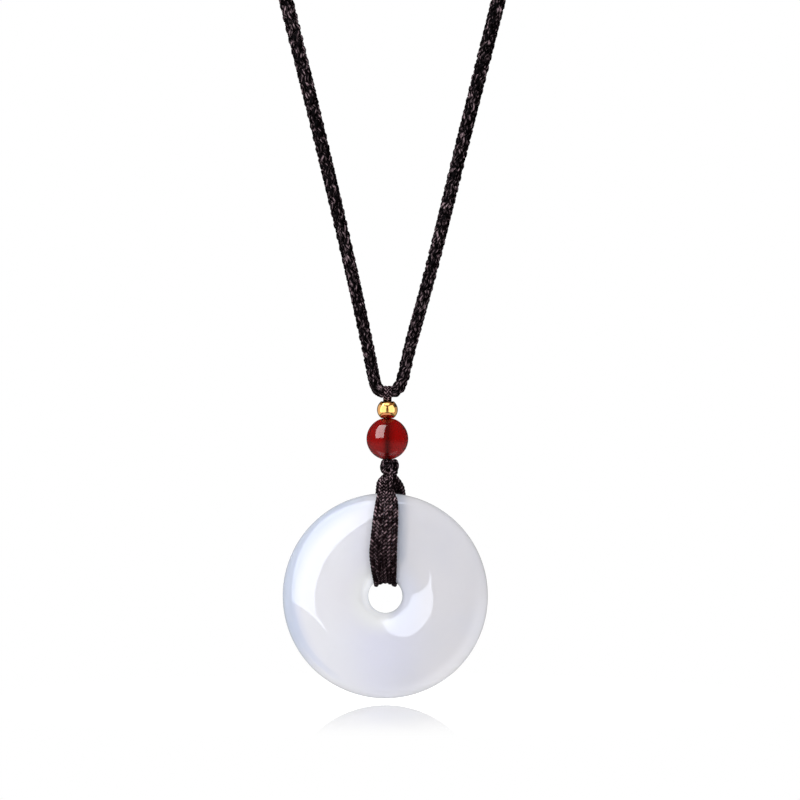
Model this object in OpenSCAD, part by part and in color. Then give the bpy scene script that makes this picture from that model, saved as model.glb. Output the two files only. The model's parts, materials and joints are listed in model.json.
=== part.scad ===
// Chalcedony necklace: a braided neck cord with a bead and disc pendant that swings on it.
// Millimetres. The origin is the middle of the cord's join at the nape, +Z is up, and the
// pendant hangs at the front, towards -Y.

/* [Neck cord] */
// Diameter of the neck cord at the nape and the sides of the neck
cord_d = 2.6; // [2.2:0.1:3.2]
// Diameter of the neck cord just above its bend
cord_low_d = 2.15; // [1.9:0.05:2.6]
// Diameter of the neck cord where the hanger loop squeezes it
cord_pinch_d = 1.4; // [1.2:0.1:1.5]
// Length of the wrapped join at the nape
join_l = 12; // [8:1:20]
// Diameter of the wrapped join
join_d = 4.4; // [3.6:0.1:6]

/* [Hanger loop] */
// Thickness of the loop's two flattened threads
loop_thread_t = 0.45; // [0.3:0.05:0.5]
// Width of the two threads side by side
loop_w = 1.65; // [1.2:0.05:1.8]
// Diameter of the threads together inside the beads
thread_d = 1.4; // [1:0.1:1.5]

/* [Beads] */
// Diameter of the gold bead
gold_d = 4; // [3.6:0.1:4.4]
// Height of the gold bead between its flat ends
gold_h = 3.1; // [2.8:0.1:3.3]
// Diameter of the red bead
red_d = 8; // [7:0.1:8]
// Diameter of the hole drilled through both beads
bead_bore_d = 1.8; // [1.7:0.1:2]

/* [Knots] */
// Width of the ball knot
knot_w = 3.45; // [3:0.05:3.8]
// Height of the ball knot
knot_h = 2.6; // [2.4:0.05:2.8]
// Thickness of the turn of cord under the ball knot
wrap_d = 0.95; // [0.8:0.05:1.05]

/* [Strap] */
// Number of thin cords side by side in the strap
strap_cords = 5; // [4:1:6]
// Gap between the strap and the disc
strap_gap = 0.12; // [0.1:0.01:0.3]

/* [Disc] */
// Outer diameter of the disc
disc_d = 39.1; // [38:0.1:40]
// Diameter of the hole in the middle of the disc
disc_hole_d = 6.5; // [6.3:0.1:7]
// Thickness of the disc at its crest
disc_t = 8.4; // [7.6:0.1:9]
// Radius that rounds the rim of the disc and the mouth of its hole
disc_edge_r = 3.2; // [2.6:0.1:3.3]

/* [Hidden] */

// Small gap between pieces that sit on each other
gap = 0.1;
// Gap between the neck cord and the hanger loop that turns round it
swing_gap = 0.27;
// Middle of the neck cord at its bend, which the pendant swings about
bend = [0, -115, -235];
// Heights of the pieces on the pendant, measured down from the bend
gold_z = bend.z - 3.15;
red_seat = sqrt(red_d * red_d - bead_bore_d * bead_bore_d) / 2;
red_z = gold_z - gold_h / 2 - gap - red_seat;
knot_z = red_z - red_seat - gap / 2 - knot_h / 2;
wrap_z = knot_z - knot_h / 2 + 0.05;
disc_z = bend.z - 38.6;
// Sideways places of the pieces that don't hang quite in line
knot_x = 0.4;
wrap_x = 0.8;
disc_x = -0.4;

// The neck cord's middle line, from its left end at the nape, down and up again to its right end
CORD_ROUTE = [
    [-6, 0, 0], [-17, -1, -0.5], [-30, -7, -4], [-41, -16, -8], [-49, -28, -15], [-52.3, -42, -25],
    [-50.8, -56, -40], [-45.3, -69, -61], [-38.9, -80, -85], [-32.2, -89, -110], [-25.7, -96, -135],
    [-19.4, -102, -160], [-13.2, -107, -185], [-7.3, -111, -210],
    [-3.9, -113.2, -225.5], [-2.7, -114.2, -231.5], [-2.2, -114.8, -233.5],
    [-1.6, -115, -234.4], [-0.9, -115, -234.9], [0, -115, -235],
    [0.9, -115, -234.9], [1.7, -115, -234.4], [2.4, -114.8, -233.5], [3.1, -114.2, -231.5],
    [4.5, -113.2, -225.5], [8.7, -111, -210], [14.9, -107, -185], [21.2, -102, -160],
    [27.5, -96, -135], [34, -89, -110], [40.5, -80, -85], [46.5, -69, -61], [51.5, -56, -40],
    [52.9, -42, -25], [49, -28, -15], [41, -16, -8], [30, -7, -4], [17, -1, -0.5], [6, 0, 0]
];
cord_sides = 8;
// Height over the bend at which the neck cord has its full thickness
taper_h = 75;
// Half of the stretch that the hanger loop squeezes, and how far the squeeze fades out beside it
squeeze_half_l = 1.2;
squeeze_fade = 0.9;

// The strap's spread on each face of the disc: height over the disc's middle, how far its middle
// lies to the right, half its width, and half its thickness
FRONT_SPREAD = [
    [2, 0, 2.2, 0.42], [4.8, -0.2, 2.45, 0.46], [6.7, -0.35, 2.65, 0.5], [8.6, -0.4, 2.7, 0.5],
    [12.4, -0.15, 2.6, 0.5], [16.2, 0.15, 2.4, 0.52], [18.1, 0.3, 2.2, 0.6],
    [20, 0.1, 1.5, 0.8], [21.6, 0.05, 1.35, 0.85], [23, 0.5, 0.95, 0.8]
];
BACK_SPREAD = [
    [2, 0, 2.2, 0.42], [4.8, 0.5, 2.5, 0.45], [8.6, 1.4, 2.75, 0.45], [12.4, 1.8, 2.9, 0.45],
    [16.2, 1.5, 2.95, 0.45], [19.5, 1, 2.95, 0.45], [20.8, 0.95, 2.8, 0.5],
    [21.6, 0.8, 2.5, 0.55], [22.4, 0.8, 1.8, 0.7], [23, 0.9, 1.2, 0.8]
];
column_middle = 1;
column_half_w = 2;
column_half_t = 3;

cord_colour = [0.16, 0.10, 0.11];
strap_colour = [0.17, 0.11, 0.12];
gold_colour = [0.85, 0.62, 0.22];
red_colour = [0.55, 0.04, 0.04];
disc_colour = [0.86, 0.86, 0.90];

function mix(a, b, t) = a + (b - a) * t;
function unit(v) = v / norm(v);
function clamp(v, low, high) = min(max(v, low), high);

// A point on a smooth curve from b to c, whose neighbours are a and d
function curve_point(a, b, c, d, t) =
    ((2 * b) + (c - a) * t + (2 * a - 5 * b + 4 * c - d) * t * t
        + (3 * b - a - 3 * c + d) * t * t * t) / 2;

// A smooth curve through all the points, with a number of steps between each two
function curve(points, steps) =
    let (last = len(points) - 1)
    [
        for (i = [0 : last - 1], s = [0 : steps - 1])
            curve_point(points[max(i - 1, 0)], points[i], points[i + 1],
                points[min(i + 2, last)], s / steps),
        points[last]
    ];

// The direction of a line of points at one of them
function direction(points, i) =
    unit(points[min(i + 1, len(points) - 1)] - points[max(i - 1, 0)]);

// Side faces and both end caps of a skin over rings of points
function skin_faces(rings, sides) = concat(
    [
        for (i = [0 : rings - 2], j = [0 : sides - 1])
            let (k = (j + 1) % sides)
            [i * sides + j, i * sides + k, (i + 1) * sides + k, (i + 1) * sides + j]
    ],
    [[for (j = [sides - 1 : -1 : 0]) j]],
    [[for (j = [0 : sides - 1]) (rings - 1) * sides + j]]
);

// Radius of the neck cord at a point of its middle line
function cord_radius(point) =
    let (
        rise = clamp((point.z - bend.z) / taper_h, 0, 1),
        beside = abs(point.x) - squeeze_half_l,
        squeeze = point.y > bend.y + 1 ? 0 : clamp(1 - beside / squeeze_fade, 0, 1)
    )
    mix(mix(cord_low_d, cord_d, rise), cord_pinch_d, squeeze) / 2;

// Outline of a round tube at one point of a line, seen across the line
function cord_ring(points, i) =
    let (
        along = direction(points, i),
        across = unit(cross(along, [0, 1, 0])),
        over = cross(across, along),
        r = cord_radius(points[i])
    )
    [
        for (j = [0 : cord_sides - 1])
            let (a = 360 * j / cord_sides)
            points[i] + r * (cos(a) * across + sin(a) * over)
    ];

module neck_cord() {
    line = curve(CORD_ROUTE, 2);
    rings = [for (i = [0 : len(line) - 1]) cord_ring(line, i)];
    color(cord_colour)
        polyhedron([for (ring = rings) each ring], skin_faces(len(rings), cord_sides));
}

module cord_join() {
    turn_r = 0.5;
    turn_shrink = 0.98;
    core_l = join_l - 2 * gap;
    turns = round(core_l / (2 * turn_r));
    color(cord_colour)
        rotate([0, 90, 0])
            rotate_extrude($fn = 32) {
                translate([0, -core_l / 2])
                    square([join_d / 2 - turn_r, core_l]);
                for (i = [0 : turns - 1])
                    translate([join_d / 2 - turn_r, (i - (turns - 1) / 2) * core_l / turns])
                        circle(r = turn_r * turn_shrink, $fn = 24);
            }
}

// Section of the two flattened threads, side by side and pressed together at the middle
module loop_section() {
    end_r = loop_thread_t / 2;
    press = end_r / 2;
    thread_w = loop_w / 2 + press;
    for (side = [-1, 1])
        translate([0, side * (loop_w - thread_w) / 2]) {
            square([loop_thread_t, thread_w - 2 * end_r], center = true);
            for (end = [-1, 1])
                translate([0, end * (thread_w / 2 - end_r)])
                    circle(r = end_r, $fn = 24);
        }
}

module hanger_loop() {
    loop_r = cord_pinch_d / 2 + swing_gap + loop_thread_t / 2;
    stem_top = loop_r - gap;
    stem_l = bend.z - stem_top - (knot_z + knot_h / 2 + gap);
    color(strap_colour) {
        translate(bend)
            rotate([0, 90, 0])
                rotate_extrude($fn = 48)
                    translate([loop_r, 0])
                        loop_section();
        translate(bend - [0, 0, stem_top + stem_l])
            cylinder(d = thread_d, h = stem_l, $fn = 24);
    }
}

module gold_bead() {
    color(gold_colour)
        translate([0, bend.y, gold_z])
            difference() {
                intersection() {
                    sphere(d = gold_d, $fn = 64);
                    cube([gold_d + 1, gold_d + 1, gold_h], center = true);
                }
                cylinder(d = bead_bore_d, h = gold_h + 1, center = true, $fn = 32);
            }
}

module red_bead() {
    color(red_colour)
        translate([0, bend.y, red_z])
            difference() {
                sphere(d = red_d, $fn = 72);
                cylinder(d = bead_bore_d, h = red_d + 1, center = true, $fn = 32);
            }
}

// A round ball flattened from above, grown all round by a given amount
module flat_ball(grow) {
    side_r = knot_h / 2;
    translate([knot_x, bend.y, knot_z]) {
        rotate_extrude($fn = 48)
            intersection() {
                translate([knot_w / 2 - side_r, 0])
                    circle(r = side_r + grow, $fn = 48);
                translate([0, -knot_h])
                    square([knot_w, 2 * knot_h]);
            }
        cylinder(r = knot_w / 2 - side_r, h = knot_h + 2 * grow, center = true, $fn = 48);
    }
}

module button_knot() {
    color(strap_colour)
        flat_ball(0);
}

// The turn of cord leans with its right side up, and the ball knot is pressed into it
module knot_wrap() {
    ring_r = 0.85;
    core_h = 0.65;
    lean = -8;
    color(strap_colour)
        difference() {
            translate([wrap_x, bend.y, wrap_z])
                rotate([0, lean, 0]) {
                    rotate_extrude($fn = 32)
                        translate([ring_r, 0])
                            circle(d = wrap_d, $fn = 20);
                    cylinder(r = ring_r, h = core_h, center = true, $fn = 32);
                }
            flat_ball(gap);
        }
}

// Middle of the ring that the disc is turned from, and the arcs of its oval section
crest_r = (disc_d + disc_hole_d) / 4;
oval_a = (disc_d - disc_hole_d) / 4;
oval_b = disc_t / 2;
face_r = (oval_a * oval_a - 2 * oval_a * disc_edge_r + oval_b * oval_b)
    / (2 * (oval_b - disc_edge_r));
edge_turn = atan2(face_r - oval_b, oval_a - disc_edge_r);

// A point over the disc's section where its surface faces a given way, 0 being up and 90 forward,
// as [height over the disc's middle, distance in front of it]
function over_disc(way, out) =
    let (
        facing = [cos(way), sin(way)],
        middle = way < edge_turn ? [oval_a - disc_edge_r, 0]
            : way > 180 - edge_turn ? [disc_edge_r - oval_a, 0]
            : [0, oval_b - face_r],
        r = (way < edge_turn || way > 180 - edge_turn) ? disc_edge_r : face_r
    )
    [crest_r, 0] + middle + (r + out) * facing;

function spread_at(table, height, column) =
    lookup(height, [for (row = table) [row[0], row[column]]]);

// How far the strap's middle lies over the disc's surface, at a height over the disc's middle
function strap_lift(table, height) = strap_gap + spread_at(table, height, column_half_t);

// A point of the strap's middle line where it lies on the disc
function on_disc(table, way) =
    over_disc(way, strap_lift(table, over_disc(way, strap_gap)[0]));

// The strap's middle line on one face, in the disc's section: straight from its top end under the
// knot to where it meets the disc, then along the disc to the hole
strap_top = [22.3, 0.95];
meet_way = 60;
hole_way = 180;
way_step = 10;
lead_steps = 6;

function face_line(table) = [
    for (s = [0 : lead_steps - 1])
        mix(strap_top, on_disc(table, meet_way), s / lead_steps),
    for (way = [meet_way : way_step : hole_way])
        on_disc(table, way)
];

// Half thickness of the side by side cords, as a share, across the strap from -1 to 1
valley_depth = 0.8;
function ribs(across) =
    let (in_cord = (across + 1) / 2 * strap_cords, off = 2 * (in_cord - floor(in_cord)) - 1)
    sqrt(1 - valley_depth * off * off);

// Places of the outline's points across one cord, from its left edge to its right
rib_points = [-0.92, -0.5, 0, 0.5, 0.92];
strap_across = [
    for (k = [0 : strap_cords - 1], p = rib_points)
        (2 * k + 1 + p) / strap_cords - 1
];

// One ring of the strap, at a point of its line, whose sideways places follow the disc's ring
function strap_ring(point, facing, table, side) =
    let (
        half_w = spread_at(table, point[0], column_half_w),
        half_t = spread_at(table, point[0], column_half_t),
        middle = spread_at(table, point[0], column_middle),
        outside = [for (s = strap_across) [s, 1]],
        inside = [for (i = [len(strap_across) - 1 : -1 : 0]) [strap_across[i], -1]]
    )
    [
        for (q = concat(outside, inside))
            let (
                place = point + q[1] * half_t * ribs(q[0]) * facing,
                turn = (middle + q[0] * half_w) / point[0] * 180 / PI
            )
            [
                disc_x + place[0] * sin(turn),
                bend.y - side * place[1],
                disc_z + place[0] * cos(turn)
            ]
    ];

function facing_at(line, i) =
    let (along = direction(line, i))
    [along[1], -along[0]];

module strap() {
    front = face_line(FRONT_SPREAD);
    back = face_line(BACK_SPREAD);
    last = len(front) - 1;
    front_rings = [
        for (i = [0 : last])
            strap_ring(front[i], i == last ? [-1, 0] : facing_at(front, i), FRONT_SPREAD, 1)
    ];
    back_rings = [
        for (i = [last - 1 : -1 : 0])
            strap_ring(back[i], facing_at(back, i), BACK_SPREAD, -1)
    ];
    rings = concat(front_rings, back_rings);
    color(strap_colour)
        polyhedron([for (ring = rings) each ring], skin_faces(len(rings), len(rings[0])));
}

// Oval section of the disc, made of two flat arcs and two edge arcs
module disc_section() {
    tangent = [oval_a - disc_edge_r, 0] + disc_edge_r * [cos(edge_turn), sin(edge_turn)];
    for (end = [-1, 1])
        translate([end * (oval_a - disc_edge_r), 0])
            circle(r = disc_edge_r, $fn = 48);
    intersection() {
        translate([0, oval_b - face_r])
            circle(r = face_r, $fn = 180);
        translate([0, face_r - oval_b])
            circle(r = face_r, $fn = 180);
        square([2 * tangent.x, disc_t + 1], center = true);
    }
}

module disc() {
    color(disc_colour)
        translate([disc_x, bend.y, disc_z])
            rotate([90, 0, 0])
                rotate_extrude($fn = 120)
                    translate([crest_r, 0])
                        disc_section();
}

neck_cord();
cord_join();
hanger_loop();
gold_bead();
red_bead();
button_knot();
knot_wrap();
strap();
disc();
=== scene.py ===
"""Chalcedony necklace: a braided neck cord, and on it a pendant of a gold bead, a carnelian bead, a ball
knot, a strap of thin cords and a polished disc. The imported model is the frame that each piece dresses."""
import json
import math

import bpy
import numpy as np
from mathutils import Matrix, Vector


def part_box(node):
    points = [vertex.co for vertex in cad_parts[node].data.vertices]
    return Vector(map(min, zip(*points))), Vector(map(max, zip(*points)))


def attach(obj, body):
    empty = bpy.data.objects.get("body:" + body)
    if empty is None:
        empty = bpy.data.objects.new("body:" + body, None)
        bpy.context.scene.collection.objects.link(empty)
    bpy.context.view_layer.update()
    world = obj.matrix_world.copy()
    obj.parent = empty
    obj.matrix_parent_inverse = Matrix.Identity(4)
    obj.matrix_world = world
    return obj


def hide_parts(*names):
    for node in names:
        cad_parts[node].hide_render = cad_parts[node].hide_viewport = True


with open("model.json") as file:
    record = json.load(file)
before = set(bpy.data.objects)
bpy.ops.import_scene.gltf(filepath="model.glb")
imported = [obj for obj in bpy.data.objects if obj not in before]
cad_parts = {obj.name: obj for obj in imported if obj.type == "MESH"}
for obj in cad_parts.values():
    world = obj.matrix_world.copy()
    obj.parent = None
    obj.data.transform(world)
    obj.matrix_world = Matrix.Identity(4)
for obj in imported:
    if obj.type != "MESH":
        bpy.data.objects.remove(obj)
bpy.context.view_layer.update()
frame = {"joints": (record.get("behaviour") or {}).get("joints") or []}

MM = 0.001
draw = np.random.default_rng(7)


def middle(node):
    low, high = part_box(node)
    return (low + high) / 2


def size(node):
    low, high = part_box(node)
    return high - low


# Sizes and places, from the frame or as in the solids
swing = frame["joints"][0]
bend = Vector(swing["pos_m"])
disc_at = middle("disc")
disc_d, disc_t = size("disc").x, size("disc").y
disc_hole_d = 6.5 * MM
disc_edge_r = 3.2 * MM
gold_at, gold_h, gold_d = middle("gold_bead"), size("gold_bead").z, size("gold_bead").x
red_at, red_h, red_d = middle("red_bead"), size("red_bead").z, size("red_bead").x
bead_bore_d = 1.8 * MM
red_bore_d = 1.0 * MM
knot_at, knot_w, knot_h = middle("button_knot"), size("button_knot").x, size("button_knot").z
join_l, join_d = size("cord_join").x, size("cord_join").z


# Camera, as wide at the pendant as the photograph is
view_w = 152.4 * MM
view_at = Vector((2.4 * MM, bend.y, -236.3 * MM))
camera_gap = 750 * MM
sensor_w = 36

camera_data = bpy.data.cameras.new("camera")
camera_data.sensor_width = sensor_w
camera_data.lens = sensor_w * camera_gap / view_w
camera_data.clip_start = 0.01
camera_data.clip_end = 20
camera = bpy.data.objects.new("camera", camera_data)
camera.location = view_at - Vector((0, camera_gap, 0))
camera.rotation_euler = (math.radians(90), 0, 0)
bpy.context.scene.collection.objects.link(camera)
bpy.context.scene.camera = camera


# Lines that the cords follow
def units(vectors):
    return vectors / np.linalg.norm(vectors, axis=1)[:, None]


def smooth_curve(points, steps):
    """A smooth curve through all the points, the same one that the solids follow."""
    p = np.array([points[0], *points, points[-1]], float)
    t = np.arange(steps)[:, None] / steps
    spans = [
        ((2 * b) + (c - a) * t + (2 * a - 5 * b + 4 * c - d) * t**2 + (3 * b - a - 3 * c + d) * t**3) / 2
        for a, b, c, d in zip(p, p[1:], p[2:], p[3:])
    ]
    return np.vstack([*spans, p[-1:]])


def run_of(line):
    """How far along a line each of its points lies."""
    steps = np.linalg.norm(np.diff(line[:, :3], axis=0), axis=1)
    return np.concatenate([[0], np.cumsum(steps)])


def evenly(line, gap):
    """The same line with its points a gap apart. Columns after the first three go along with them."""
    run = run_of(line)
    at = np.linspace(0, run[-1], max(int(run[-1] / gap), 2) + 1)
    return np.stack([np.interp(at, run, column) for column in line.T], axis=1)


def smoothstep(low, high, value):
    t = np.clip((value - low) / (high - low), 0, 1)
    return t * t * (3 - 2 * t)


# Shares of a braid's half width: how far a strand dips where it goes under, half the strand's width and
# thickness, and the core's own half width
strand_dip, strand_wide, strand_thick, core_share = 0.5, 0.44, 0.25, 0.5


def braid(line, across, half_w, half_t, pitch, turn, twill=False, slant=0):
    """Eight strands of a round braid along a line, and a core. Four wind one way and four the other, and
    each goes over and under the ones that it meets, or over two and under two in a twill. A strand is its
    middle line, the way that it faces, half its width and thickness, its run along the braid, how bright
    each of its strokes is, and how its yarns slant across it. That brightness is painted light and shade: a
    random tone, brighter where the strand goes over and darker where it dips under."""
    each = 4
    along = units(np.gradient(line, axis=0))
    across = units(across - along * np.sum(across * along, axis=1)[:, None])
    out = np.cross(along, across)
    run = run_of(line)
    met = 2 * each * run / pitch
    mean = np.sqrt(half_w * half_t)
    strands = [thread(line, across, core_share * half_w, core_share * half_t)]
    for way in (1, -1):
        for k in range(each):
            beat = met + way * (2 * k - 0.5) if twill else 2 * met
            over = np.clip(0.5 + 0.7 * way * np.cos(np.pi / 2 * beat), 0, 1)
            share = 1 - strand_dip * (1 - over)
            angle = way * np.pi * met / each + 2 * np.pi * k / each + turn
            reach_w = (half_w - strand_thick * mean) * share * np.cos(angle)
            reach_t = (half_t - strand_thick * mean) * share * np.sin(angle)
            facing = across * (np.cos(angle) / half_w)[:, None] + out * (np.sin(angle) / half_t)[:, None]
            strokes = np.floor(beat / 4 + (0.5 if way > 0 else 0)).astype(int)
            # Painted light and shade: a stroke is brighter where the strand goes over and darker where it
            # dips under
            bright = over * (0.5 + 0.5 * draw.random(np.ptp(strokes) + 1)[strokes - strokes.min()])
            strands.append({
                "line": line + across * reach_w[:, None] + out * reach_t[:, None],
                "facing": facing, "half_w": strand_wide * mean, "half_t": strand_thick * mean,
                "run": run, "bright": bright, "slant": way * slant,
            })
    return strands


def thread(line, facing, half_w, half_t):
    """One thread along a line, as a single strand."""
    whole = np.ones(len(line))
    return {
        "line": line, "facing": facing, "half_w": half_w * whole, "half_t": half_t * whole,
        "run": run_of(line), "bright": 0.7 * whole, "slant": 0,
    }


def skin(name, strands, sides):
    """One mesh of closed tubes over the strands. Its UV map holds the run in mm and the turn round the
    strand, three turns on for each next strand, and its bright attribute how bright each stroke is."""
    points, faces, uvs, bright = [], [], [], []
    base = 0
    turn = 2 * np.pi * np.arange(sides) / sides + np.pi
    for number, strand in enumerate(strands):
        line = strand["line"]
        along = units(np.gradient(line, axis=0))
        facing = strand["facing"]
        facing = units(facing - along * np.sum(facing * along, axis=1)[:, None])
        beside = np.cross(along, facing)
        spoke_t = (strand["half_t"][:, None] * np.cos(turn))[:, :, None] * facing[:, None]
        spoke_w = (strand["half_w"][:, None] * np.sin(turn))[:, :, None] * beside[:, None]
        points.append((line[:, None] + spoke_t + spoke_w).reshape(-1, 3))
        bright.append(np.repeat(strand["bright"], sides))
        rings = len(line)
        i, j = np.meshgrid(np.arange(rings - 1), np.arange(sides), indexing="ij")
        i, j = i.ravel(), j.ravel()
        k = (j + 1) % sides
        quads = np.stack([i * sides + j, i * sides + k, (i + 1) * sides + k, (i + 1) * sides + j], axis=1)
        faces.extend((quads + base).tolist())
        mm = strand["run"] / MM
        around = np.stack([j, j + 1, j + 1, j], axis=1) / sides
        lengths = np.stack([mm[i], mm[i], mm[i + 1], mm[i + 1]], axis=1)
        around = around + strand["slant"] * lengths + 3 * number
        uvs.append(np.stack([lengths, around], axis=2).reshape(-1, 2))
        for ring, order in ((0, -1), (rings - 1, 1)):
            faces.append((base + ring * sides + np.arange(sides)[::order]).tolist())
            uvs.append(np.full((sides, 2), (mm[ring], 0.5)))
        base += rings * sides
    mesh = bpy.data.meshes.new(name)
    mesh.from_pydata(np.vstack(points).tolist(), [], faces)
    layer = mesh.uv_layers.new(name="run")
    layer.data.foreach_set("uv", np.vstack(uvs).astype(np.float32).ravel())
    attribute = mesh.attributes.new("bright", "FLOAT", "POINT")
    attribute.data.foreach_set("value", np.concatenate(bright).astype(np.float32))
    mesh.polygons.foreach_set("use_smooth", np.ones(len(faces), bool))
    piece = bpy.data.objects.new(name, mesh)
    bpy.context.scene.collection.objects.link(piece)
    return piece


# Neck cord: eight strands in a round braid, squeezed under the hanger loop and in the join. Its route,
# in mm, runs from the join down the left, round the bend and up the right
CORD_ROUTE = [
    [-0.3, 0, 0],
    [-6, 0, 0], [-17, -1, -0.5], [-30, -7, -4], [-41, -16, -8], [-49, -28, -15], [-52.3, -42, -25],
    [-50.8, -56, -40], [-45.3, -69, -61], [-38.9, -80, -85], [-32.2, -89, -110], [-25.7, -96, -135],
    [-19.4, -102, -160], [-13.2, -107, -185], [-7.3, -111, -210],
    [-3.9, -113.2, -225.5], [-2.7, -114.2, -231.5], [-2.2, -114.8, -233.5],
    [-1.6, -115, -234.4], [-0.9, -115, -234.9], [0, -115, -235],
    [0.9, -115, -234.9], [1.7, -115, -234.4], [2.4, -114.8, -233.5], [3.1, -114.2, -231.5],
    [4.5, -113.2, -225.5], [8.7, -111, -210], [14.9, -107, -185], [21.2, -102, -160],
    [27.5, -96, -135], [34, -89, -110], [40.5, -80, -85], [46.5, -69, -61], [51.5, -56, -40],
    [52.9, -42, -25], [49, -28, -15], [41, -16, -8], [30, -7, -4], [17, -1, -0.5], [6, 0, 0],
    [0.3, 0, 0],
]
cord_r, cord_low_r, cord_pinch_r = 1.53 * MM, 1.28 * MM, 0.93 * MM
cord_in_join_r = 1.15 * MM
taper_h = 75 * MM
squeeze_half_l, squeeze_fade = 0.75 * MM, 0.4 * MM
neck_pitch = 9.4 * MM
neck_twist = 160 * MM
neck_slant = 0.2
neck_ring_gap = 0.38 * MM


def cord_radius(line):
    x, y, z = line.T
    rise = np.clip((z - bend.z) / taper_h, 0, 1)
    plain = cord_low_r + (cord_r - cord_low_r) * rise
    squeeze = np.clip(1 - (abs(x) - squeeze_half_l) / squeeze_fade, 0, 1) * (y < bend.y + MM)
    in_join = smoothstep(join_l / 2 + MM, join_l / 2, abs(x)) * (y > -2 * MM)
    return plain + (cord_pinch_r - plain) * squeeze + (cord_in_join_r - plain) * in_join


def neck_cord_piece():
    line = evenly(smooth_curve(np.array(CORD_ROUTE) * MM, 24), neck_ring_gap)
    across = np.cross(np.gradient(line, axis=0), (0, 1, 0))
    r = cord_radius(line)
    turn = math.radians(45) + 2 * np.pi * run_of(line) / neck_twist
    return skin("neck_cord_braid", braid(line, across, r, r, neck_pitch, turn, slant=neck_slant), 6)


def cord_join_piece():
    """The two ends of the neck cord are wrapped with turns of one thread side by side. The thread's own
    ends sink in under the last turns."""
    thread_r = 0.49 * MM
    turns, points_per_turn = 12, 26
    ends = 0.6
    t = np.linspace(-turns / 2 - ends, turns / 2 + ends, int((turns + 2 * ends) * points_per_turn))
    inside = smoothstep(turns / 2 - 0.4, turns / 2 + ends, abs(t)) * thread_r * 0.9
    r = join_d / 2 - thread_r - inside
    reach = join_l / 2 - thread_r
    x = np.clip(t * 2 * reach / turns, -reach, reach)
    spoke = np.stack([np.zeros_like(t), np.cos(2 * np.pi * t), np.sin(2 * np.pi * t)], axis=1)
    line = spoke * r[:, None] + np.stack([x, 0 * x, 0 * x], axis=1)
    return skin("cord_join_whipping", [thread(line, spoke, thread_r, thread_r)], 12)


# Hanger loop: two thin flat braids side by side, up out of the beads, over the bend and down again
loop_r = 1.195 * MM
loop_pitch = 2.6 * MM
loop_ring_gap = 0.15 * MM


def hanger_loop_piece():
    """Seen from the side, each row is a place, as distance behind the bend and height, and half the
    width and thickness of one braid there."""
    red_top = red_at.z + red_d / 2
    gold_low, gold_top = gold_at.z - gold_h / 2, gold_at.z + gold_h / 2
    arch = []
    for degrees in range(130, -131, -20):
        way = math.radians(degrees)
        arch.append((-loop_r * math.sin(way), bend.z + loop_r * math.cos(way), 0.46 * MM, 0.26 * MM))
    thin = 0.2 * MM
    legs = [
        (-thin, knot_at.z + knot_h / 2 - 0.4 * MM, thin, thin),
        (-thin, red_at.z, thin, thin),
        (-thin, red_top, thin, thin),
        (-thin, gold_low + 0.6 * MM, 0.24 * MM, thin),
        (-0.22 * MM, gold_top - 0.3 * MM, 0.42 * MM, 0.2 * MM),
        (-0.26 * MM, gold_top, 0.44 * MM, 0.24 * MM),
        (-0.42 * MM, gold_top + 0.5 * MM, 0.45 * MM, 0.26 * MM),
    ]
    side_view = legs + arch + [(-y, z, half_w, half_t) for y, z, half_w, half_t in reversed(legs)]
    beside_share = 0.85
    strands = []
    for side in (-1, 1):
        rows = [
            [side * beside_share * half_w, bend.y + y, z, half_w, half_t]
            for y, z, half_w, half_t in side_view
        ]
        rows = evenly(smooth_curve(rows, 12), loop_ring_gap)
        across = np.tile((1.0, 0, 0), (len(rows), 1))
        strands += braid(rows[:, :3], across, rows[:, 3], rows[:, 4], loop_pitch, side * 0.4, twill=True)
    return skin("hanger_loop_threads", strands, 6)


# Ball knot: one thread that winds three times round the ball, over and under itself. It stands a
# little proud of the knot's solid
knot_thread_half_w, knot_thread_half_t = 0.42 * MM, 0.24 * MM
knot_proud = np.array((1.06, 1.06, 1.1))
knot_winds, knot_waves = 3, 5
knot_strokes, knot_strokes_per_radian = 60, 9


def button_knot_piece():
    t = np.linspace(0, 2 * np.pi, 480)
    around = knot_winds * t + math.radians(20)
    up = math.radians(68) * np.cos(knot_waves * t)
    spoke = np.stack([np.cos(up) * np.cos(around), np.cos(up) * np.sin(around), np.sin(up)], axis=1)
    lean = Matrix.Rotation(math.radians(14), 3, "Y") @ Matrix.Rotation(math.radians(10), 3, "X")
    spoke = spoke @ np.array(lean).T
    reach = np.array((knot_w, knot_w, knot_h)) * knot_proud / 2 - knot_thread_half_t * 1.25
    plump = (np.hypot(spoke[:, 0], spoke[:, 1])**4 + abs(spoke[:, 2])**4)**(-1 / 4)
    lift = plump * (1 + 0.10 * np.sin(2 * knot_waves * t))
    line = spoke * reach * lift[:, None] + np.array(knot_at)
    knot = thread(line, spoke, knot_thread_half_w, knot_thread_half_t)
    knot["bright"] = 0.4 + 0.6 * draw.random(knot_strokes)[(t * knot_strokes_per_radian).astype(int)]
    return skin("button_knot_thread", [knot], 12)


def knot_wrap_piece():
    """A turn and a quarter of one thread, seen as a lump under the knot."""
    wrap_at, wrap_w = middle("knot_wrap"), size("knot_wrap").x
    tube_r = 0.45 * MM
    half_turns = 0.62
    t = np.linspace(-half_turns, half_turns, 90)
    spoke = np.stack([np.sin(2 * np.pi * t), -np.cos(2 * np.pi * t), 0 * t], axis=1)
    rise = t * 0.5 * MM
    line = spoke * (wrap_w / 2 - tube_r) + np.stack([0 * t, 0 * t, rise], axis=1)
    lean = np.array(Matrix.Rotation(math.radians(-8), 3, "Y")).T
    line = line @ lean + np.array(wrap_at)
    return skin("knot_wrap_thread", [thread(line, spoke @ lean, tube_r * 1.05, tube_r * 0.8)], 12)


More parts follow.
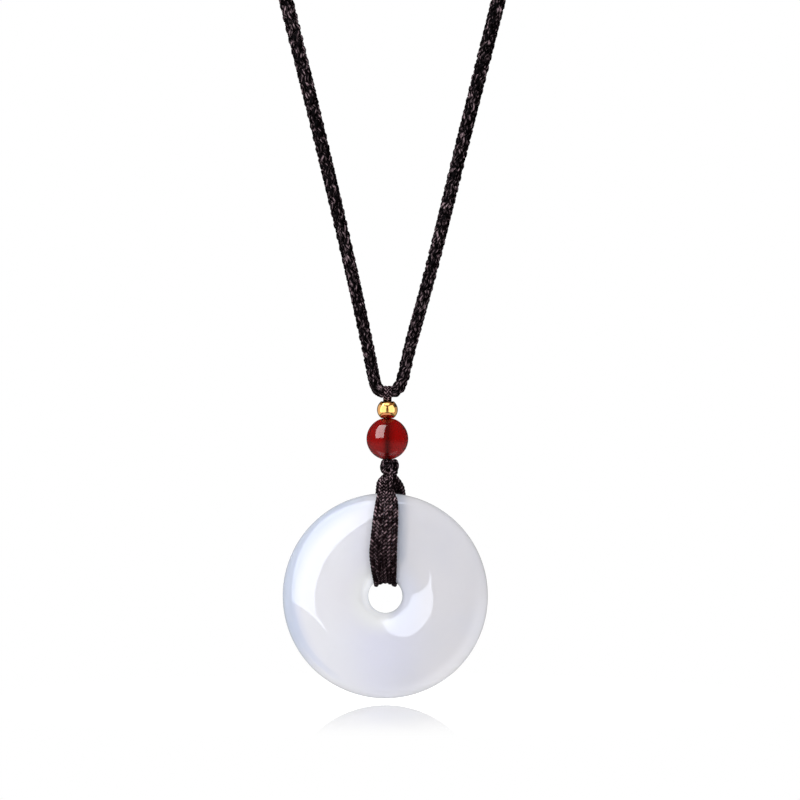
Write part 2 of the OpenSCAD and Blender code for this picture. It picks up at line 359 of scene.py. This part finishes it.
# Strap: five thin cords down the front of the disc, through its hole and up its back. The disc's
# section is an oval of two flat arcs and two edge arcs, and the tables are the strap's own spread,
# in mm: height over the disc's middle, middle to the right, half width, half thickness
FRONT_SPREAD = [
    [2, 0, 2.2, 0.42], [4.8, -0.2, 2.45, 0.46], [6.7, -0.35, 2.65, 0.5], [8.6, -0.4, 2.7, 0.5],
    [12.4, -0.15, 2.6, 0.5], [16.2, 0.15, 2.4, 0.52], [18.1, 0.3, 2.2, 0.6],
    [20, 0.1, 1.5, 0.8], [21.6, 0.05, 1.35, 0.85], [23, 0.5, 0.95, 0.8],
]
BACK_SPREAD = [
    [2, 0, 2.2, 0.42], [4.8, 0.5, 2.5, 0.45], [8.6, 1.4, 2.75, 0.45], [12.4, 1.8, 2.9, 0.45],
    [16.2, 1.5, 2.95, 0.45], [19.5, 1, 2.95, 0.45], [20.8, 0.95, 2.8, 0.5],
    [21.6, 0.8, 2.5, 0.55], [22.4, 0.8, 1.8, 0.7], [23, 0.9, 1.2, 0.8],
]
strap_cords = 5
strap_gap = 0.12 * MM
strap_pitch = 2.8 * MM
strap_ring_gap = 0.18 * MM
strap_top = (22.3 * MM, 0.95 * MM)
lead_steps = 6
meet_way = 60
thin_cord_half = 0.43 * MM
cord_press = 1.08
crest_r = (disc_d + disc_hole_d) / 4
oval_a = (disc_d - disc_hole_d) / 4
oval_b = disc_t / 2
face_r = (oval_a**2 - 2 * oval_a * disc_edge_r + oval_b**2) / (2 * (oval_b - disc_edge_r))
edge_turn = math.degrees(math.atan2(face_r - oval_b, oval_a - disc_edge_r))


def over_disc(way, out):
    """Height over the disc's middle and distance in front of it, where its surface faces a given way
    in degrees, 0 being up and 90 forward, and out is how far off the surface the point lies."""
    if way < edge_turn:
        height, front, r = oval_a - disc_edge_r, 0, disc_edge_r
    elif way > 180 - edge_turn and way < 180 + edge_turn:
        height, front, r = disc_edge_r - oval_a, 0, disc_edge_r
    else:
        height, front, r = 0, oval_b - face_r, face_r
    angle = math.radians(way)
    return crest_r + height + (r + out) * math.cos(angle), front + (r + out) * math.sin(angle)


def spread_at(table, height):
    heights, *columns = np.array(table).T * MM
    return [float(np.interp(height, heights, column)) for column in columns]


def strap_face(table, side):
    """Rows of height and distance to the front, with the spread there, from the knot to the hole."""
    def on_disc(way):
        height, _ = over_disc(way, strap_gap)
        return over_disc(way, strap_gap + spread_at(table, height)[2])

    meet = on_disc(meet_way)
    lead = [
        [a + (b - a) * step / lead_steps for a, b in zip(strap_top, meet)] for step in range(lead_steps)
    ]
    line = [(23.9 * MM, 0.3 * MM), (23.1 * MM, 0.7 * MM)] + lead
    line += [on_disc(way) for way in range(meet_way, 181, 10)]
    if side < 0:
        line = line[:-1]
    return [(height, side * front, *spread_at(table, height)) for height, front in line]


def strap_piece():
    """Where the strap is narrower than its cords side by side, they slide into two layers."""
    rows = strap_face(FRONT_SPREAD, 1) + strap_face(BACK_SPREAD, -1)[::-1]
    strands = []
    for k in range(strap_cords):
        layer = 1 if k % 2 == 0 else -1
        places = []
        for height, front, right, half_w, half_t in rows:
            cord_w = max(half_w / strap_cords * cord_press, thin_cord_half)
            gap = 2 * (half_w - cord_w) / (strap_cords - 1)
            turn = (right + (k - (strap_cords - 1) / 2) * gap) / height
            depth = layer * math.sqrt(max((2 * thin_cord_half)**2 - gap**2, 0)) / 2
            cord_t = half_t if depth == 0 else thin_cord_half
            places.append([
                disc_at.x + height * math.sin(turn), bend.y - front, disc_at.z + height * math.cos(turn),
                cord_w, cord_t, turn, depth,
            ])
        places = evenly(smooth_curve(places, 14), strap_ring_gap)
        line, half_w, half_t, turn, depth = places[:, :3], *places[:, 3:].T
        across = np.stack([np.cos(turn), 0 * turn, -np.sin(turn)], axis=1)
        out = units(np.cross(np.gradient(line, axis=0), across))
        line = line + out * depth[:, None]
        strands += braid(line, across, half_w, half_t, strap_pitch, 0.4 * k, twill=True)
    return skin("strap_cords", strands, 6)


# Turned and drilled pieces, shaped in edit mode
def deselect():
    if bpy.context.object and bpy.context.object.mode != "OBJECT":
        bpy.ops.object.mode_set(mode="OBJECT")
    bpy.ops.object.select_all(action="DESELECT")


def pick_faces(piece, test):
    """Selects the faces of a piece in edit mode that pass the test."""
    bpy.ops.mesh.select_all(action="DESELECT")
    bpy.ops.object.mode_set(mode="OBJECT")
    for face in piece.data.polygons:
        face.select = test(face)
    bpy.ops.object.mode_set(mode="EDIT")


def finish_piece(piece, name, sharp):
    """Leaves edit mode, and shades the piece smooth but for edges sharper than so many degrees."""
    bpy.ops.object.mode_set(mode="OBJECT")
    bpy.ops.object.transform_apply(location=True, rotation=True, scale=True)
    bpy.ops.object.shade_smooth_by_angle(angle=math.radians(sharp))
    piece.name = piece.data.name = name
    deselect()
    return piece


def drilled_ball(name, at, d, height, bore_d):
    """A ball cut flat at both ends and drilled from top to bottom, with its sharp rims taken off."""
    deselect()
    bpy.ops.mesh.primitive_uv_sphere_add(segments=96, ring_count=64, radius=d / 2, location=at)
    ball = bpy.context.object
    bpy.ops.object.transform_apply(location=True)
    bpy.ops.object.mode_set(mode="EDIT")
    for side in (-1, 1):
        bpy.ops.mesh.select_all(action="SELECT")
        bpy.ops.mesh.bisect(
            plane_co=at + Vector((0, 0, side * height / 2)), plane_no=(0, 0, side),
            use_fill=True, clear_outer=True,
        )
    flat_w = math.sqrt((d / 2)**2 - (height / 2)**2) - bore_d / 2
    least_flat_w = 0.02 * MM
    bpy.ops.mesh.select_mode(type="FACE")

    def is_end(face):
        return abs(face.normal.z) > 0.999 and abs(abs(face.center.z - at.z) - height / 2) < 0.01 * MM

    pick_faces(ball, is_end)
    if flat_w > least_flat_w:
        bpy.ops.mesh.inset(thickness=flat_w, depth=0)
        pick_faces(ball, lambda face: is_end(face) and len(face.vertices) > 8)
    bpy.ops.mesh.bridge_edge_loops()
    bpy.ops.mesh.select_mode(type="EDGE")
    bpy.ops.mesh.select_all(action="DESELECT")
    bpy.ops.mesh.edges_select_sharp(sharpness=math.radians(20))
    bpy.ops.mesh.bevel(offset=0.09 * MM, segments=3, affect="EDGES")
    bpy.ops.mesh.select_all(action="SELECT")
    bpy.ops.mesh.remove_doubles(threshold=0.001 * MM)
    bpy.ops.mesh.normals_make_consistent(inside=False)
    return finish_piece(ball, name, 40)


def gold_bead_piece():
    return drilled_ball("gold_bead_polished", gold_at, gold_d, gold_h, bead_bore_d)


def red_bead_piece():
    """Its bore is narrower than the solid's, so that the thread fills the mouth."""
    return drilled_ball("carnelian_bead", red_at, red_d, red_h, red_bore_d)


def disc_piece():
    """The oval section, spun round the disc's axis."""
    around, turns = 96, 168
    deselect()
    crest = disc_at + Vector((0, 0, crest_r))
    bpy.ops.mesh.primitive_circle_add(
        vertices=around, radius=oval_a, location=crest, rotation=(0, math.radians(90), 0))
    disc = bpy.context.object
    bpy.ops.object.transform_apply(location=True, rotation=True)
    for vertex in disc.data.vertices:
        way = math.degrees(math.atan2(-(vertex.co.y - crest.y), vertex.co.z - crest.z)) % 360
        height, front = over_disc(way if way <= 180 else 360 - way, 0)
        vertex.co = (disc_at.x, disc_at.y - math.copysign(front, 180 - way), disc_at.z + height)
    bpy.ops.object.mode_set(mode="EDIT")
    bpy.ops.mesh.select_all(action="SELECT")
    bpy.ops.mesh.spin(steps=turns, angle=2 * math.pi, center=disc_at, axis=(0, 1, 0))
    bpy.ops.mesh.select_all(action="SELECT")
    bpy.ops.mesh.remove_doubles(threshold=0.005 * MM)
    bpy.ops.mesh.normals_make_consistent(inside=False)
    return finish_piece(disc, "chalcedony_disc", 60)


def knot_core_piece():
    """The knot's inside, where the thread crosses itself, seen only between its turns."""
    core_d = knot_w * 0.96
    deselect()
    bpy.ops.mesh.primitive_uv_sphere_add(segments=32, ring_count=20, radius=core_d / 2, location=knot_at)
    core = bpy.context.object
    core.scale = (1, 1, knot_h / knot_w)
    bpy.ops.object.mode_set(mode="EDIT")
    bpy.ops.mesh.select_all(action="SELECT")
    bpy.ops.mesh.vertices_smooth(factor=0.3)
    return finish_piece(core, "button_knot_core", 60)


# Materials
class Number:
    """One value in a material, on which plain arithmetic works: each operator adds a Math node."""

    def __init__(self, mixing, socket):
        self.mixing = mixing
        self.socket = socket

    def __add__(self, other):
        return self.mixing.math("ADD", self, other)

    def __sub__(self, other):
        return self.mixing.math("SUBTRACT", self, other)

    def __rsub__(self, other):
        return self.mixing.math("SUBTRACT", other, self)

    def __mul__(self, other):
        return self.mixing.math("MULTIPLY", self, other)

    def __truediv__(self, other):
        return self.mixing.math("DIVIDE", self, other)

    def __neg__(self):
        return self * -1

    __radd__ = __add__
    __rmul__ = __mul__


class Mixing:
    """The nodes of one material, or of the world, as they are added."""

    def __init__(self, tree):
        self.tree = tree
        tree.nodes.clear()

    def node(self, kind, settings, inputs, out=0):
        """One output of a new node, with its settings set first, and then its sockets set or linked."""
        node = self.tree.nodes.new("ShaderNode" + kind)
        for key, value in settings.items():
            setattr(node, key, value)
        for key, value in inputs.items():
            if isinstance(value, Number):
                self.tree.links.new(value.socket, node.inputs[key])
            else:
                node.inputs[key].default_value = value
        return Number(self, node.outputs[out])

    def math(self, operation, *values):
        return self.node("Math", {"operation": operation}, dict(enumerate(values)))

    def clamp(self, value):
        return self.node("Clamp", {}, {"Value": value})

    def mix(self, share, first, second):
        """A colour between two others."""
        return self.node("Mix", {"data_type": "RGBA"}, {0: share, 6: first, 7: second}, 2)

    def between(self, value, low, high):
        """0 under low and 1 over high, with a soft step from one to the other."""
        return self.node(
            "MapRange", {"interpolation_type": "SMOOTHSTEP"},
            {"Value": value, "From Min": low, "From Max": high})

    def parts(self, vector):
        """The three numbers of a vector."""
        split = self.node("SeparateXYZ", {}, {0: vector}).socket.node
        return [Number(self, socket) for socket in split.outputs]

    def place(self):
        """Where a point of the piece lies, as a vector."""
        return self.node("TexCoord", {}, {}, "Object")

    def noise(self, scale, detail, stretch=(1, 1, 1)):
        place = self.node("Mapping", {}, {"Vector": self.place(), "Scale": stretch})
        return self.node("TexNoise", {}, {"Vector": place, "Scale": scale, "Detail": detail})

    def bump(self, height, depth):
        return self.node("Bump", {}, {"Height": height, "Distance": depth, "Strength": 1.0})

    def surface(self, **inputs):
        """The shader on the surface. Its sockets are named with _ for each space."""
        inputs = {key.replace("_", " "): value for key, value in inputs.items()}
        self.output(self.node("BsdfPrincipled", {}, inputs))

    def output(self, shader):
        kind = "World" if isinstance(self.tree.id_data, bpy.types.World) else "Material"
        node = self.tree.nodes.new("ShaderNodeOutput" + kind)
        self.tree.links.new(shader.socket, node.inputs["Surface"])


def new_material(name):
    material = bpy.data.materials.new(name)
    material.use_nodes = True
    return material, Mixing(material.node_tree)


def on_strand(m):
    """How far along its strand, in mm, and how far round it, in turns, a point lies, and how bright its
    stroke is."""
    along, around, _ = m.parts(m.node("UVMap", {"uv_map": "run"}, {}))
    bright = m.node("Attribute", {"attribute_name": "bright"}, {}, "Fac")
    return along, around, bright


def braided_thread(name, valley_shade, yarn, painted_glint, yarn_l, yarns):
    """A fine braided nylon thread: near black, with painted shade in its dips and thin bright strokes
    painted into its colour as glints where its yarns would catch the light.
    """
    material, m = new_material(name)
    along, around, bright = on_strand(m)

    def speckles(finer_along, finer_around):
        place = m.node("CombineXYZ", {}, {
            0: along / yarn_l * finer_along,
            1: around * yarns * finer_around,
        })
        return m.node("TexNoise", {}, {"Vector": place, "Scale": 1.0, "Detail": 1.0})

    stroke = speckles(1, 1)
    grain = speckles(2.5, 1.7)
    # Painted highlight: glint strokes in the base colour where the yarns would catch the light
    shine = m.between(stroke, 0.49, 0.72) * m.between(grain, 0.36, 0.64)
    # Painted shade where the grain dips, as its bump does
    colour = m.mix(m.between(grain, 0.35, 0.7), valley_shade, yarn)
    colour = m.mix(shine * (0.12 + m.between(bright, 0.15, 0.9) * 0.88), colour, painted_glint)
    m.surface(
        Base_Color=colour, Roughness=0.62 - shine * 0.25, IOR=1.53, Specular_IOR_Level=0.02,
        Normal=m.bump(stroke * 0.7 + grain * 0.3, 0.15 * MM))
    return material


def filament_thread(name, valley_shade, yarn, painted_glint, filaments):
    """A thin nylon yarn of fine filaments laid side by side, each stroke with its own brightness, with
    painted shade between its filaments and painted glints along its crests. The painted glints are dimmed
    behind the disc as painted shade, and are fainter the lower the yarn lies on the disc, down towards the
    hole."""
    material, m = new_material(name)
    along, around, bright = on_strand(m)
    line = m.math("SINE", around * (filaments * 2 * math.pi) + along * 5.0) * 0.5 + 0.5
    speckle = m.noise(2600, 2)
    _, y, z = m.parts(m.place())
    # Painted shade: the glints are dimmed behind the disc
    rear = m.between(y - bend.y, 0.1 * MM, 0.9 * MM)
    # The glints are fainter the lower the yarn lies on the disc, down towards the hole
    low_on_disc = 1 - m.between(z - disc_at.z, 3 * MM, 20 * MM)
    # Painted highlight along the crest of each strand
    crest_highlight = m.between(1 - m.math("ABSOLUTE", m.math("FRACT", around) * 2 - 1), 0.68, 0.96)
    glow = m.between(bright, 0.45, 1.0) * (0.3 + m.between(speckle, 0.42, 0.58) * 0.7)
    glow = glow * crest_highlight * (1 - rear * 0.7) * (1 - low_on_disc * 0.75)
    # Painted shade between the filaments, then the painted glints
    colour = m.mix(line * speckle, valley_shade, yarn)
    colour = m.mix(glow * (0.5 + line * 0.5), colour, painted_glint)
    m.surface(
        Base_Color=colour, Roughness=0.6 - bright * 0.25, IOR=1.53, Specular_IOR_Level=0.02,
        Normal=m.bump(line, 0.03 * MM))
    return material


def polished_gold():
    material, m = new_material("polished gold")
    smear = m.noise(500, 3)
    scratch = m.noise(2500, 2, (1, 1, 0.15))
    colour = m.mix(smear, (1.0, 0.60, 0.19, 1), (1.0, 0.65, 0.23, 1))
    m.surface(
        Base_Color=colour, Metallic=1.0, Roughness=0.07 + smear * 0.05,
        Normal=m.bump(scratch, 0.002 * MM))
    return material


def clear_carnelian():
    """Clear red stone under a polished skin, duller at its top, with a painted hazy reflection over its
    lower half and painted shade along its bore, where the dark thread inside shows through."""
    material, m = new_material("clear carnelian")
    x, _, z = m.parts(m.place())
    x, z = x - red_at.x, z - red_at.z
    cloud = m.noise(260, 4)
    streak = m.noise(420, 3, (1, 1, 0.25))
    # Painted reflection: a hazy, lighter red over the lower half, as of the pale surface below
    low_haze_reflection = 1 - m.between(z, -1.3 * MM, -0.4 * MM)
    # Painted shade along the bore, where the dark thread inside shows through
    bore = 1 - m.between(m.math("ABSOLUTE", x - 0.15 * MM), 0.3 * MM, 1.5 * MM)
    dull = m.between(z, 2.4 * MM, 3.4 * MM)
    colour = m.mix(cloud * 0.6 + streak * 0.4, (0.28, 0.0004, 0.0002, 1), (0.48, 0.001, 0.0004, 1))
    colour = m.mix(low_haze_reflection * (0.3 + streak * 0.7), colour, (0.36, 0.02, 0.02, 1))
    colour = m.mix(bore * 0.5, colour, (0.12, 0.0002, 0.0001, 1))
    m.surface(
        Base_Color=colour, Roughness=0.6 + cloud * 0.1, IOR=1.2,
        Transmission_Weight=0.78, Specular_IOR_Level=0.0, Specular_Tint=(1.0, 0.2, 0.15, 1),
        Coat_Weight=1 - dull * 0.85, Coat_Roughness=0.04, Coat_IOR=1.54)
    return material


def milky_chalcedony():
    """A milky, half clear stone under a polished skin, bluer at its bottom and warmer in two faint patches.
    Painted on it are light on its left, where the soft box lights it, bluish shade along its left rim,
    where the surface turns away, and bluish shade where the rear of the strap shows through it. Painted
    light glows from it a little where it is thin, on the left of the hole and along its lower right rim,
    and painted light and shade lie by the hole, lighter on its left and darker on its right."""
    material, m = new_material("milky chalcedony")
    x, _, z = m.parts(m.place())
    x, z = x - disc_at.x, z - disc_at.z
    r = m.math("SQRT", x * x + z * z)

    def patch(at_x, at_z, wide):
        dx, dz = x - at_x * MM, z - at_z * MM
        return 1 - m.between(m.math("SQRT", dx * dx + dz * dz), 0, wide * MM)

    # Where each tint lies
    cloud = m.noise(60, 3)
    veil = m.noise(120, 4, (1, 1, 0.4))
    near_hole = 1 - m.between(r, 3 * MM, 8.5 * MM)
    # Painted light: lighter on the left, where the soft box lights the disc
    left = m.between(-x - z * 0.1, -4 * MM, 9 * MM)
    # Painted shade: bluish bands where the surface turns away at the left rim
    rim = m.between(r, 15.5 * MM, 19.0 * MM) * m.between(-x + z * 0.35, 6 * MM, 16 * MM)
    rim_shade_band = m.between(r, 17.0 * MM, 17.5 * MM) * (1 - m.between(r, 18.0 * MM, 18.5 * MM))
    rim_shade_band = rim_shade_band * m.between(-x - z * 0.3, 12 * MM, 16 * MM)
    warm = patch(-9, 1, 9) * 0.7 + patch(11, -15, 8) * 0.7
    # Painted shade where the rear of the strap shows through the stone
    behind = m.between(x, 0, 2 * MM) * (1 - m.between(x, 2.8 * MM, 4.8 * MM)) * m.between(z, 5 * MM, 8 * MM)

    # The plain stone, and the tints, painted light and shade among them, laid over it one by one
    rim_shade_blue = (0.56, 0.63, 0.77, 1)
    colour = m.mix(m.between(cloud, 0.35, 0.65), (0.76, 0.76, 0.81, 1), (0.79, 0.78, 0.81, 1))
    colour = m.mix(m.between(veil, 0.5, 0.75) * 0.5, colour, (0.81, 0.80, 0.83, 1))
    colour = m.mix(left * 0.88, colour, (0.895, 0.895, 0.985, 1))
    colour = m.mix(patch(-1, -10, 12) * 0.5, colour, (0.77, 0.78, 0.92, 1))
    # Painted light on the left of the hole and painted shade on its right
    hole_light_and_shade = m.mix(m.between(x, -1 * MM, 3 * MM), (0.97, 0.98, 1.0, 1), (0.77, 0.79, 0.89, 1))
    colour = m.mix(near_hole, colour, hole_light_and_shade)
    colour = m.mix(rim * 0.8, colour, rim_shade_blue)
    colour = m.mix(rim_shade_band * 0.25, colour, rim_shade_blue)
    colour = m.mix(warm * 0.4, colour, (0.88, 0.85, 0.84, 1))
    colour = m.mix(behind * 0.7, colour, (0.56, 0.60, 0.70, 1))

    # Painted light: an emitted glow where the stone is thin, for light that comes through it
    hole_glow = 1 - m.between(r - z * 0.15, 3.1 * MM, 5 * MM)
    hole_glow = hole_glow * m.between(-x - z * 0.3, -1 * MM, 2 * MM)
    rim_glow = m.between(r, 16.2 * MM, 18 * MM) * m.between((x - z) * 0.7, 9 * MM, 18 * MM)
    glow = m.mix(hole_glow, (0, 0, 0, 1), (0.28, 0.29, 0.31, 1))
    glow = m.mix(rim_glow, glow, (0.07, 0.07, 0.07, 1))
    m.surface(
        Base_Color=colour, Roughness=0.45 + cloud * 0.1, IOR=1.3,
        Transmission_Weight=0.3, Subsurface_Weight=1.0, Subsurface_Radius=(1.0, 1.0, 1.0),
        Subsurface_Scale=2 * MM, Specular_IOR_Level=0.0,
        Coat_Weight=1.0, Coat_Roughness=0.01, Coat_IOR=1.54,
        Emission_Color=glow, Emission_Strength=1.0)
    return material


# Pieces and their finishes
neck_thread = braided_thread(
    "neck cord thread", valley_shade=(0.0002, 0.0001, 0.0001, 1), yarn=(0.003, 0.001, 0.0015, 1),
    painted_glint=(0.38, 0.27, 0.30, 1), yarn_l=1.0, yarns=7)
pendant_thread = braided_thread(
    "knot thread", valley_shade=(0.0004, 0.0002, 0.0003, 1), yarn=(0.004, 0.0014, 0.002, 1),
    painted_glint=(0.40, 0.28, 0.32, 1), yarn_l=0.7, yarns=7)
strap_thread = filament_thread(
    "strap yarn", valley_shade=(0.0004, 0.0002, 0.0003, 1), yarn=(0.015, 0.004, 0.006, 1),
    painted_glint=(0.82, 0.56, 0.63, 1), filaments=4)
gold = polished_gold()
carnelian = clear_carnelian()
chalcedony = milky_chalcedony()

DRESSED = [
    (neck_cord_piece(), "neck_cord", "neck", "neck_cord", neck_thread),
    (cord_join_piece(), "cord_join", "neck", "neck_cord", pendant_thread),
    (hanger_loop_piece(), "hanger_loop", "pendant", "pendant_cord", strap_thread),
    (gold_bead_piece(), "gold_bead", "pendant", "gold", gold),
    (red_bead_piece(), "red_bead", "pendant", "carnelian", carnelian),
    (button_knot_piece(), "button_knot", "pendant", "pendant_cord", pendant_thread),
    (knot_core_piece(), "button_knot", "pendant", "pendant_cord", pendant_thread),
    (knot_wrap_piece(), "knot_wrap", "pendant", "pendant_cord", pendant_thread),
    (strap_piece(), "strap", "pendant", "pendant_cord", strap_thread),
    (disc_piece(), "disc", "pendant", "chalcedony", chalcedony),
]
for piece, node, body, slot, material in DRESSED:
    piece.data.materials.clear()
    piece.data.materials.append(material)
    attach(piece, body)
    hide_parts(node)


# Studio: a big soft box to the upper left lights every piece. It isn't mirrored: in its place the disc
# and the cords mirror one window, and each bead another. Reflectors show only in the gold bead, and
# white walls and a ceiling only in the pale floor just under the disc. All round is white
window_glow, window_tint = 4.8, (0.82, 0.88, 1.0)

# Each box's middle from the gold bead's, and half its width and height as vectors, in metres
GOLD_REFLECTIONS = [
    # name, middle, half width, half height, radiance, colour
    ("window_in_gold", (-0.75, -0.20, 0.95), (0.18, -0.095, 0.0165), (0.028, 0.144, 0.24), 4.0, (1, 1, 1)),
    ("reflector_front", (-0.40, -0.36, 0.12), (0.25, -0.30, -0.045), (0, 0, 0.40), 1.4, (1, 1, 1)),
    ("reflector_side", (-0.7, 0.25, 0.03), (0, -0.5, 0), (0, 0, 0.47), 0.70, (1.0, 0.8, 0.8)),
    ("reflector_front", (0.40, -0.36, 0.12), (0.25, 0.30, 0.045), (0, 0, 0.40), 1.4, (1, 1, 1)),
    ("reflector_side", (0.7, 0.25, -0.15), (0, 0.5, 0), (0, 0, 0.37), 0.40, (1.0, 0.8, 0.8)),
    ("reflector_above", (-0.08, -0.36, 0.72), (0.32, 0, 0), (0, 0.21, 0), 1.6, (1, 1, 1)),
    ("reflector_below", (-0.15, -0.25, -0.6), (0.6, 0, 0), (0, -0.5, 0), 0.6, (1.0, 0.5, 0.7)),
    ("reflector_over", (0, 0.3, 2), (2.5, 0, 0), (0, 2.5, 0), 0.22, (1.0, 0.55, 0.3)),
    ("reflector_behind_camera", (0, -2, 0.2), (1.2, 0, 0), (0, 0, 1.2), 0.12, (1.0, 0.6, 0.3)),
]


def soft_box(name, at, right, up, radiance, seen_in=(), colour=(1, 1, 1)):
    """A soft box with its middle at a point, and half its width and height as vectors. It lights all
    pieces, or is only mirrored in some."""
    light = bpy.data.lights.new(name, "AREA")
    light.shape = "RECTANGLE"
    light.size = 2 * right.length
    light.size_y = 2 * up.length
    light.color = colour
    light.energy = radiance * math.pi * light.size * light.size_y
    box = bpy.data.objects.new(name, light)
    x = right.normalized()
    z = x.cross(up).normalized()
    y = z.cross(x)
    box.matrix_world = Matrix.Translation(at) @ Matrix((x, y, z)).transposed().to_4x4()
    box.visible_camera = False
    bpy.context.scene.collection.objects.link(box)
    if seen_in:
        box.visible_diffuse = box.visible_transmission = False
        mirrors = bpy.data.collections.new(name + " seen in")
        box.light_linking.receiver_collection = mirrors
        for piece in seen_in:
            mirrors.objects.link(piece)
    return box


def studio_lights():
    """The corner box gives the thin upper horn of the highlight beside the disc's hole."""
    shown = {piece.name: piece for piece, *_ in DRESSED}
    gold_piece, red_piece = shown.pop("gold_bead_polished"), shown.pop("carnelian_bead")
    at, right, up = Vector((-0.66, -0.74, 0.32)), Vector((0.50, -0.23, -0.05)), Vector((0.35, 0.65, 0.53))
    soft = soft_box("soft_box", disc_at + at * 1.03, right, up, 0.5)
    soft.visible_glossy = soft.visible_transmission = False
    soft_box("window_in_stone", disc_at + at, right, up, window_glow, shown.values(), window_tint)
    soft_box(
        "window_corner", disc_at + Vector((-0.392, -1.534, -0.226)), Vector((0.088, -0.02, -0.012)),
        Vector((0.003, -0.003, 0.022)), window_glow, shown.values(), window_tint)
    right, up = Vector((0.36, -0.19, 0.033)), Vector((0.070, 0.36, 0.60))
    soft_box("window_in_bead", red_at + Vector((-0.57, -0.34, 0.69)), right, up, 6.2, [red_piece])
    for name, at, right, up, radiance, colour in GOLD_REFLECTIONS:
        soft_box(name, gold_at + Vector(at), Vector(right), Vector(up), radiance, [gold_piece], colour)


def studio_floor():
    """A white floor that shines faintly under the disc, more the lower it is looked at. White walls and
    a ceiling show in its shine alone, and no piece mirrors it."""
    floor_w, gap = 0.22, 0.63 * MM
    bpy.ops.mesh.primitive_plane_add(size=floor_w, location=(0, bend.y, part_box("disc")[0].z - gap))
    floor = bpy.context.object
    floor.name = "studio_floor"
    material, m = new_material("studio floor")
    from_disc = m.node("VectorMath", {"operation": "LENGTH"}, {0: m.place()}, "Value")
    seen = m.node("LightPath", {}, {}, "Is Camera Ray")
    lit = m.node("LightPath", {}, {}, "Is Diffuse Ray")
    shine = m.node("Fresnel", {}, {"IOR": 1.45}) * (1 - m.between(from_disc, 0.02, 0.08))
    shade = m.mix(m.clamp(seen + lit), (0.3, 0.3, 0.3, 1), (1, 1, 1, 1))
    white = m.node("Emission", {}, {"Color": shade, "Strength": 1.0})
    gloss = m.node("BsdfGlossy", {}, {"Color": (1, 1, 1, 1), "Roughness": 0.04})
    shiny = m.node("MixShader", {}, {0: shine * seen, 1: white, 2: gloss})
    back = m.node("NewGeometry", {}, {}, "Backfacing")
    mirrored = m.node("LightPath", {}, {}, "Is Glossy Ray")
    clear = m.node("BsdfTransparent", {}, {"Color": (1, 1, 1, 1)})
    m.output(m.node("MixShader", {}, {0: m.clamp(back + mirrored), 1: shiny, 2: clear}))
    floor.data.materials.append(material)
    wall_gap = 3
    above = Vector((0, 0, wall_gap))
    for side in ((1, 0, 0), (-1, 0, 0), (0, 1, 0), (0, -1, 0)):
        way = Vector(side)
        soft_box("white_wall", floor.location + way * wall_gap, above.cross(way), above, 1.0, [floor])
    soft_box(
        "white_ceiling", floor.location + above, Vector((wall_gap, 0, 0)), Vector((0, wall_gap, 0)),
        1.0, [floor])


def studio_world():
    """White all round as seen, a bright room as it lights, and a dark one as it is mirrored, with a
    white backdrop straight behind the necklace, which shows through the clear stones too."""
    world = bpy.data.worlds.new("studio")
    world.use_nodes = True
    bpy.context.scene.world = world
    m = Mixing(world.node_tree)
    x, y, z = m.parts(m.node("TexCoord", {}, {}, "Generated"))
    seen = m.node("LightPath", {}, {}, "Is Camera Ray")
    through = m.node("LightPath", {}, {}, "Is Transmission Ray")
    lit = m.node("LightPath", {}, {}, "Is Diffuse Ray")
    backdrop = m.between(y, 0.97, 0.985)
    low = 1 - m.between(z, -0.4, 0.05)
    mirrored = 0.04 + low * 0.12
    room = mirrored + (1.12 - z * 0.06 - x * 0.12 - mirrored) * lit
    plain = m.clamp(seen + through * m.between(y, 0.2, 0.6) + backdrop)
    strength = room + (1 - room) * plain
    m.output(m.node("Background", {}, {"Color": (1, 1, 1, 1), "Strength": strength}))


deselect()
studio_lights()
studio_floor()
studio_world()
bpy.context.scene.view_settings.view_transform = "Standard"

bpy.context.view_layer.update()
